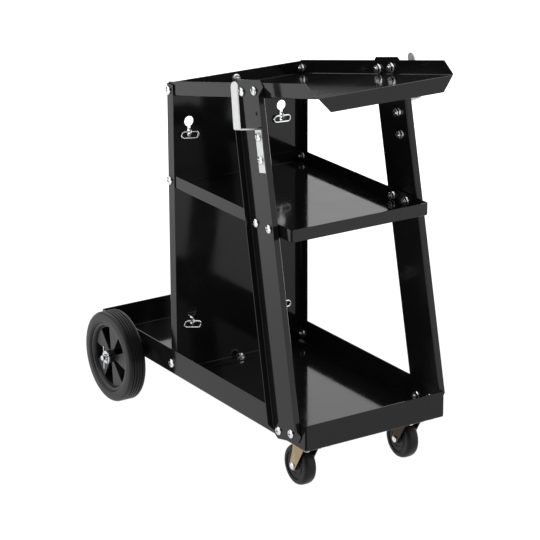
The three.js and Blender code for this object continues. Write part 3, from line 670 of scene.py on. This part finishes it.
def rim_plastic():
    # Black polypropylene from a sparked mould: satin with an even grain of 0.6 mm.
    finish, tree, shader = new_finish("rim_plastic", Specular_IOR_Level=0.4)
    place = add(tree, "TexCoord").outputs["Object"]
    flow = add(tree, "TexNoise", {"Vector": place}, {"Scale": 60.0, "Detail": 2.0})
    tint = add(tree, "ValToRGB", {"Fac": flow.outputs["Fac"]})
    tint.color_ramp.elements[0].color = linear("#141415")
    tint.color_ramp.elements[1].color = linear("#1a1a1b")
    satin = add(tree, "MapRange", {"Value": flow.outputs["Fac"]},
                {"From Min": 0.3, "From Max": 0.7, "To Min": 0.3, "To Max": 0.38})
    grain = add(tree, "TexNoise", {"Vector": place}, {"Scale": 1700.0, "Detail": 1.0})
    bump = add(tree, "Bump", {"Height": grain.outputs["Fac"]}, {"Strength": 0.1, "Distance": 0.05 * MM})
    tree.links.new(tint.outputs["Color"], shader.inputs["Base Color"])
    tree.links.new(satin.outputs["Result"], shader.inputs["Roughness"])
    tree.links.new(bump.outputs["Normal"], shader.inputs["Normal"])
    return finish


def rim_hollow_shade():
    # The same plastic inside the barrel, near black and dead matt as painted shade in the hollow behind the windows,
    # with a coarse 1 mm tooth.
    finish, tree, shader = new_finish("rim_hollow_shade", Specular_IOR_Level=0.1)
    place = add(tree, "TexCoord").outputs["Object"]
    tooth = add(tree, "TexNoise", {"Vector": place}, {"Scale": 1000.0, "Detail": 2.0})
    tint = add(tree, "ValToRGB", {"Fac": tooth.outputs["Fac"]})
    tint.color_ramp.elements[0].color = linear("#060606")
    tint.color_ramp.elements[1].color = linear("#0b0b0b")
    rough = add(tree, "MapRange", {"Value": tooth.outputs["Fac"]},
                {"From Min": 0.3, "From Max": 0.7, "To Min": 0.8, "To Max": 0.95})
    bump = add(tree, "Bump", {"Height": tooth.outputs["Fac"]}, {"Strength": 0.2, "Distance": 0.1 * MM})
    tree.links.new(tint.outputs["Color"], shader.inputs["Base Color"])
    tree.links.new(rough.outputs["Result"], shader.inputs["Roughness"])
    tree.links.new(bump.outputs["Normal"], shader.inputs["Normal"])
    return finish


def prism(outline, start, end):
    # A flat outline of (Y, Z) points, drawn out along X.
    bpy.ops.object.select_all(action="DESELECT")
    bpy.ops.mesh.primitive_circle_add(vertices=len(outline), fill_type="NGON")
    piece = bpy.context.object
    for vertex, (y, z) in zip(piece.data.vertices, outline):
        vertex.co = (start, y, z)
    start_edit(piece)
    bpy.ops.mesh.extrude_region_move(TRANSFORM_OT_translate={"value": (end - start, 0, 0)})
    bpy.ops.mesh.select_all(action="SELECT")
    bpy.ops.mesh.normals_make_consistent(inside=False)
    end_edit()
    return piece


def spoke_disc():
    bpy.ops.object.select_all(action="DESELECT")
    bpy.ops.mesh.primitive_cylinder_add(vertices=TYRE_STEPS, radius=SPOKE_DISC_R, depth=SPOKE_DISC,
                                        location=(SPOKE_DISC_AT, 0, 0), rotation=(0, math.pi / 2, 0))
    bpy.ops.object.transform_apply(location=True, rotation=True, scale=True)
    disc = bpy.context.object
    outline = [(WINDOW_OUT_R, WINDOW_HALF * step / 5) for step in range(-5, 6)]
    outline += [(WINDOW_IN_R, WINDOW_HALF * step) for step in (1, 0, -1)]
    windows = []
    for number in range(SPOKE_COUNT):
        turn = WINDOW_AT + number * math.tau / SPOKE_COUNT
        window = [(radius * math.cos(turn + angle), radius * math.sin(turn + angle)) for radius, angle in outline]
        windows.append(prism(window, SPOKE_DISC_AT - SPOKE_DISC, SPOKE_DISC_AT + SPOKE_DISC))
    cut(disc, windows)
    apply_modifier(disc, "BEVEL", width=0.6 * MM, segments=3, limit_method="ANGLE", angle_limit=FOLD_ANGLE)
    return disc


rim_barrel = turned("rim", [(along * MM, radius * MM) for along, radius in RIM_PROFILE], TYRE_STEPS, closed=True)
rim_pattern = joined([rim_barrel, spoke_disc()])
smooth(rim_pattern)
rim_pattern.data.materials.append(rim_plastic())
rim_pattern.data.materials.append(rim_hollow_shade())
# Faces inside the hollow take the near-black plastic: painted shade.
for face in rim_pattern.data.polygons:
    reach = math.hypot(face.center.y, face.center.z)
    if HOLLOW_FRONT < face.center.x < HOLLOW_BACK and HOLLOW_IN_R < reach < HOLLOW_OUT_R:
        face.material_index = 1
for side, place in wheel_places.items():
    facing = Matrix.Scale(-1 if side == "right" else 1, 4, (1, 0, 0))
    settle(copied(rim_pattern, f"{side}_rim_moulding", place @ facing), f"{side}_rear_wheel", "rim_plastic",
           f"{side}_wheel_rim")
bpy.data.objects.remove(rim_pattern)


# Axle washers and split pins: a plain washer outside each hub, held on by a split pin of
# half-round wire whose eye stands above the axle and whose legs are spread below it.
WASHER_PROFILE = ((0.0, 6.6), (0.0, 12.4), (0.3, 12.6), (1.5, 12.6), (2.0, 12.1), (2.0, 7.1), (1.6, 6.6))
PIN_WIRE = 0.9 * MM
PIN_EYE_R = 4.0 * MM
PIN_EYE_Z = 19.0 * MM
PIN_LEG = 0.55 * MM
PIN_TIP_Z = -21.0 * MM
PIN_SPREAD = 3.0 * MM
PIN_SPREAD_Z = -8.0 * MM
PIN_TURN = math.radians(57)

washer_pattern = turned("washer", [(-along * MM, radius * MM) for along, radius in WASHER_PROFILE], closed=True)
smooth(washer_pattern)
washer_pattern.data.materials.append(fastener_zinc)


def split_pin():
    eye_start = math.asin(2 * PIN_LEG / PIN_EYE_R)
    eye = [(PIN_EYE_R * math.sin(math.pi + eye_start + step * (math.tau - 2 * eye_start) / 24),
            PIN_EYE_Z + PIN_EYE_R * math.cos(math.pi + eye_start + step * (math.tau - 2 * eye_start) / 24))
           for step in range(25)]
    neck = PIN_EYE_Z - PIN_EYE_R - 2 * MM
    leg = [(PIN_LEG, neck), (PIN_LEG, 0.0), (PIN_LEG, PIN_SPREAD_Z)]
    path = [(-PIN_SPREAD, PIN_TIP_Z), *[(-across, z) for across, z in reversed(leg)], *eye, *leg,
            (PIN_SPREAD * 0.6, PIN_TIP_Z * 0.9)]
    wire = bpy.data.curves.new("pin_wire", "CURVE")
    wire.dimensions = "3D"
    wire.bevel_depth = PIN_WIRE
    wire.bevel_resolution = 3
    wire.use_fill_caps = True
    line = wire.splines.new("POLY")
    line.points.add(len(path) - 1)
    for point, (across, z) in zip(line.points, path):
        point.co = (across, 0, z, 1)
    pin = bpy.data.objects.new("split_pin", wire)
    bpy.context.scene.collection.objects.link(pin)
    bpy.ops.object.select_all(action="DESELECT")
    bpy.context.view_layer.objects.active = pin
    pin.select_set(True)
    bpy.ops.object.convert(target="MESH")
    return bpy.context.object


pin_pattern = split_pin()
smooth(pin_pattern)
pin_pattern.data.materials.append(fastener_zinc)
for side, sign in (("left", 1), ("right", -1)):
    facing = Matrix.Scale(sign, 4, (1, 0, 0))
    washer_low, washer_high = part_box(f"{side}_axle_washer")
    seat = washer_high.x if side == "left" else washer_low.x
    washer_place = Matrix.Translation((seat, axle_centre.y, axle_centre.z))
    settle(copied(washer_pattern, f"{side}_washer", washer_place @ facing), "frame", "zinc_plate",
           f"{side}_axle_washer")
    pin_low, pin_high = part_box(f"{side}_split_pin")
    pin_place = Matrix.Translation(((pin_low.x + pin_high.x) / 2, axle_centre.y, axle_centre.z))
    settle(copied(pin_pattern, f"{side}_pin", pin_place @ facing @ Matrix.Rotation(PIN_TURN, 4, "Z")), "frame",
           "zinc_plate", f"{side}_split_pin")
bpy.data.objects.remove(washer_pattern)
bpy.data.objects.remove(pin_pattern)


# Caster plates and forks: pressed steel, yellow passivated; the plate is bolted under the tray
# and the fork turns below it on a ball race, inside a pressed cup. The fork's front edge slopes to the axle.
PRESS_ROUND = 0.5 * MM
FORK_FRONT = ((2.9, -21.7), (-34.8, 40.2), (-60.0, 40.2), (-60.0, -21.7))
FORK_REACH = 30.0 * MM
FLAT_FACE = 0.9
OUTER_FACE = 0.7
CUP_PROFILE = ((90.8, 24.0), (90.8, 27.6), (90.2, 28.2), (86.4, 28.0), (84.8, 27.2), (83.9, 25.6), (83.8, 23.0),
               (85.0, 23.0), (85.0, 24.0))


def yellow_zinc():
    # Yellow chromate on zinc: pale streaks 1 mm apart, over bands a centimetre wide that go from
    # a pinkish brown to olive and tan, as the film's thickness does.
    finish, tree, shader = new_finish("yellow_zinc", Metallic=1.0)
    place = add(tree, "TexCoord").outputs["Object"]
    along = add(tree, "Mapping", {"Vector": place}, {"Scale": (1.0, 1.0, 0.1)})
    streaks = add(tree, "TexNoise", {"Vector": along.outputs["Vector"]}, {"Scale": 1000.0, "Detail": 3.0})
    upright = add(tree, "Mapping", {"Vector": place}, {"Scale": (1.0, 1.0, 0.3)})
    bands = add(tree, "TexNoise", {"Vector": upright.outputs["Vector"]}, {"Scale": 100.0, "Detail": 1.5})
    film = add(tree, "ValToRGB", {"Fac": bands.outputs["Fac"]})
    film.color_ramp.elements[0].position = 0.36
    film.color_ramp.elements[0].color = linear("#977a64")
    film.color_ramp.elements.new(0.5).color = linear("#807657")
    film.color_ramp.elements[-1].position = 0.64
    film.color_ramp.elements[-1].color = linear("#b0946c")
    tint = add(tree, "MixRGB", {"Fac": streaks.outputs["Fac"], "Color1": film.outputs["Color"]}, {
        "Color2": linear("#a08f75"),
    })
    shine = add(tree, "MapRange", {"Value": streaks.outputs["Fac"]},
                {"From Min": 0.3, "From Max": 0.7, "To Min": 0.16, "To Max": 0.24})
    bump = add(tree, "Bump", {"Height": streaks.outputs["Fac"]}, {"Strength": 0.12, "Distance": 0.05 * MM})
    tree.links.new(tint.outputs["Color"], shader.inputs["Base Color"])
    tree.links.new(shine.outputs["Result"], shader.inputs["Roughness"])
    tree.links.new(bump.outputs["Normal"], shader.inputs["Normal"])
    return finish


def shaded_zinc():
    # The same plating made dark brown, in specks of 1 mm, as painted shade: it stands for the shadow on sheared edges,
    # inside the fork and on all faces but the outer one, which face the dim underside of the cart.
    finish, tree, shader = new_finish("shaded_zinc", Metallic=1.0)
    place = add(tree, "TexCoord").outputs["Object"]
    specks = add(tree, "TexNoise", {"Vector": place}, {"Scale": 1000.0, "Detail": 3.0})
    tint = add(tree, "ValToRGB", {"Fac": specks.outputs["Fac"]})
    tint.color_ramp.elements[0].color = linear("#2e261f")
    tint.color_ramp.elements[1].color = linear("#3e332a")
    shine = add(tree, "MapRange", {"Value": specks.outputs["Fac"]},
                {"From Min": 0.3, "From Max": 0.7, "To Min": 0.3, "To Max": 0.45})
    tree.links.new(tint.outputs["Color"], shader.inputs["Base Color"])
    tree.links.new(shine.outputs["Result"], shader.inputs["Roughness"])
    return finish


def paint_zinc_shade(piece, middle_x):
    # Leaves the bright plating on level faces and on the outer face, away from the cart's middle;
    # all other faces get the dark brown painted shade.
    piece.data.materials.append(painted_shade_zinc)
    outwards = math.copysign(1.0, middle_x)
    for face in piece.data.polygons:
        outer = face.normal.x * outwards > OUTER_FACE and (face.center.x - middle_x) * outwards > 0
        if abs(face.normal.z) < FLAT_FACE and not outer:
            face.material_index = 1


caster_zinc = yellow_zinc()
painted_shade_zinc = shaded_zinc()
cup_pattern = turned("race_cup", [(along * MM, radius * MM) for along, radius in CUP_PROFILE], closed=True)
smooth(cup_pattern)
cup_pattern.data.materials.append(caster_zinc)
for side in ("left", "right"):
    pivot = sum(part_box(f"{side}_caster_plate"), Vector()) / 2
    upright = Matrix.Translation((pivot.x, pivot.y, 0)) @ Matrix.Rotation(-math.pi / 2, 4, "Y")
    settle(copied(cup_pattern, f"{side}_race_cup", upright), "frame", "yellow_zinc")
    plate = softened(f"{side}_caster_plate", f"{side}_plate_pressing", caster_zinc, PRESS_ROUND)
    paint_zinc_shade(plate, pivot.x)
    settle(plate, "frame", "yellow_zinc", f"{side}_caster_plate")
    hub = sum(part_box(f"{side}_caster_axle"), Vector()) / 2
    front = prism([(hub.y + y * MM, hub.z + z * MM) for y, z in FORK_FRONT], hub.x - FORK_REACH, hub.x + FORK_REACH)
    fork = softened(f"{side}_caster_fork", f"{side}_fork_pressing", caster_zinc, PRESS_ROUND, [front])
    paint_zinc_shade(fork, hub.x)
    settle(fork, f"{side}_caster_swivel", "yellow_zinc", f"{side}_caster_fork")
bpy.data.objects.remove(cup_pattern)


# Caster wheels: moulded black rubber with stepped rings on both faces and a raised hub,
# turning on a rivet with domed bright heads.
CASTER_STEPS = 72
CASTER_PROFILE = ((0.0, 37.5), (4.4, 37.4), (7.6, 36.8), (10.0, 35.5), (11.5, 33.4), (12.0, 30.8), (12.0, 27.4),
                  (11.6, 26.6), (10.4, 26.2), (10.2, 21.4), (10.5, 20.5), (11.1, 19.9), (11.5, 19.0), (11.5, 16.4),
                  (10.7, 15.8), (10.7, 10.6), (11.2, 9.9), (13.3, 9.3), (13.6, 8.8), (13.6, 4.4))
RIVET_HEAD = ((0.0, 6.2), (1.0, 6.2), (1.9, 5.2), (2.6, 3.6), (2.9, 1.8), (3.0, 0.0))


def caster_rubber():
    # Harder moulded rubber: satin black with a fine skin of 1 mm grains, greyer where it has rolled.
    finish, tree, shader = new_finish("caster_rubber", Specular_IOR_Level=0.18)
    place = add(tree, "TexCoord").outputs["Object"]
    wear = add(tree, "TexNoise", {"Vector": place}, {"Scale": 80.0, "Detail": 3.0})
    tint = add(tree, "ValToRGB", {"Fac": wear.outputs["Fac"]})
    tint.color_ramp.elements[0].color = linear("#0a0a0b")
    tint.color_ramp.elements[1].color = linear("#101011")
    satin = add(tree, "MapRange", {"Value": wear.outputs["Fac"]},
                {"From Min": 0.3, "From Max": 0.7, "To Min": 0.32, "To Max": 0.46})
    skin = add(tree, "TexNoise", {"Vector": place}, {"Scale": 1000.0, "Detail": 2.0})
    bump = add(tree, "Bump", {"Height": skin.outputs["Fac"]}, {"Strength": 0.1, "Distance": 0.08 * MM})
    tree.links.new(tint.outputs["Color"], shader.inputs["Base Color"])
    tree.links.new(satin.outputs["Result"], shader.inputs["Roughness"])
    tree.links.new(bump.outputs["Normal"], shader.inputs["Normal"])
    return finish


caster_pattern = turned("caster_wheel", both_sides(CASTER_PROFILE), CASTER_STEPS, closed=True)
smooth(caster_pattern)
caster_pattern.data.materials.append(caster_rubber())
for side in ("left", "right"):
    place = Matrix.Translation(sum(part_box(f"{side}_caster_wheel"), Vector()) / 2)
    settle(copied(caster_pattern, f"{side}_caster_tyre", place), f"{side}_front_wheel", "caster_rubber",
           f"{side}_caster_wheel")
bpy.data.objects.remove(caster_pattern)

rivet_low, rivet_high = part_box("left_caster_axle")
rivet_seat = (rivet_high.x - rivet_low.x) / 2 / MM - RIVET_HEAD[-1][0]
rivet_half = [(0.0, 4.0), (rivet_seat, 4.0), *[(rivet_seat + along, radius) for along, radius in RIVET_HEAD]]
rivet_pattern = turned("caster_rivet", both_sides(rivet_half[1:]))
smooth(rivet_pattern)
rivet_pattern.data.materials.append(fastener_zinc)
for side in ("left", "right"):
    place = Matrix.Translation(sum(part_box(f"{side}_caster_axle"), Vector()) / 2)
    settle(copied(rivet_pattern, f"{side}_rivet", place), f"{side}_caster_swivel", "zinc_plate",
           f"{side}_caster_axle")
bpy.data.objects.remove(rivet_pattern)


# Bottle chains: welded links of 4 mm zinc-plated wire. An end link lies flat on the panel's front,
# the next stands in the keyhole's slot, and nine more hang behind the panel as a slack loop.
LINK_WIRE = 1.95 * MM
LINK_R = 6.0 * MM
LINK_STRAIGHT = 24.0 * MM
LINK_STEP = 32.3 * MM
LINKS_A_SIDE = 4
CHAIN_Y = 132.2 * MM
CHAIN_HALF = 101.7 * MM
CHAIN_RISE = 2.3 * MM
END_TILTS = {("upper", "left"): math.radians(6), ("upper", "right"): math.radians(2),
             ("lower", "left"): math.radians(11), ("lower", "right"): math.radians(2)}


def chain_link():
    bpy.ops.object.select_all(action="DESELECT")
    bpy.ops.mesh.primitive_torus_add(major_radius=LINK_R, minor_radius=LINK_WIRE, major_segments=26, minor_segments=12,
                                     rotation=(math.pi / 2, 0, 0))
    bpy.ops.object.transform_apply(location=True, rotation=True, scale=True)
    link = bpy.context.object
    for vertex in link.data.vertices:
        vertex.co.x += math.copysign(LINK_STRAIGHT / 2, vertex.co.x)
    smooth(link)
    return link


def hanging_slopes(flat):
    # Slopes of the links from the loop's middle outwards: their tangents grow in equal steps.
    low, high = 0.0, 8.0
    for _ in range(60):
        growth = (low + high) / 2
        slopes = [math.atan(growth * max(0, number + 1 - flat)) for number in range(LINKS_A_SIDE)]
        reach = LINK_STEP / 2 + sum(LINK_STEP * math.cos(slope) for slope in slopes)
        low, high = (growth, high) if reach > CHAIN_HALF else (low, growth)
    return slopes


def loop_places(end_z, flat):
    slopes = hanging_slopes(flat)
    x = LINK_STEP / 2
    z = end_z - sum(LINK_STEP * math.sin(slope) for slope in slopes)
    places = [(0.0, z, 0.0)]
    for slope in slopes:
        across, up = LINK_STEP * math.cos(slope), LINK_STEP * math.sin(slope)
        places.append((x + across / 2, z + up / 2, slope))
        places.insert(0, (-x - across / 2, z + up / 2, -slope))
        x += across
        z += up
    return places


link_pattern = chain_link()
link_pattern.data.materials.append(fastener_zinc)
for level, flat in (("upper", 0), ("lower", 1)):
    for side in ("left", "right"):
        end_place = sum(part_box(f"{level}_{side}_end_link"), Vector()) / 2
        slot_place = sum(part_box(f"{level}_{side}_slot_link"), Vector()) / 2
        settle(copied(link_pattern, f"{level}_{side}_end_wire",
                      Matrix.Translation(end_place) @ Matrix.Rotation(END_TILTS[level, side], 4, "Y")),
               "frame", "zinc_plate", f"{level}_{side}_end_link")
        settle(copied(link_pattern, f"{level}_{side}_slot_wire",
                      Matrix.Translation(slot_place) @ Matrix.Rotation(math.pi / 2, 4, "Z")),
               "frame", "zinc_plate", f"{level}_{side}_slot_link")
    end_z = end_place.z + CHAIN_RISE
    loop = []
    for number, (x, z, slope) in enumerate(loop_places(end_z, flat)):
        place = (Matrix.Translation((x, CHAIN_Y, z)) @ Matrix.Rotation(-slope, 4, "Y")
                 @ Matrix.Rotation(math.pi / 2 * (number % 2), 4, "X"))
        loop.append(copied(link_pattern, f"{level}_loop_link_{number + 1}", place))
        settle(loop[-1], f"{level}_bottle_chain", "zinc_plate", f"{level}_chain")
bpy.data.objects.remove(link_pattern)
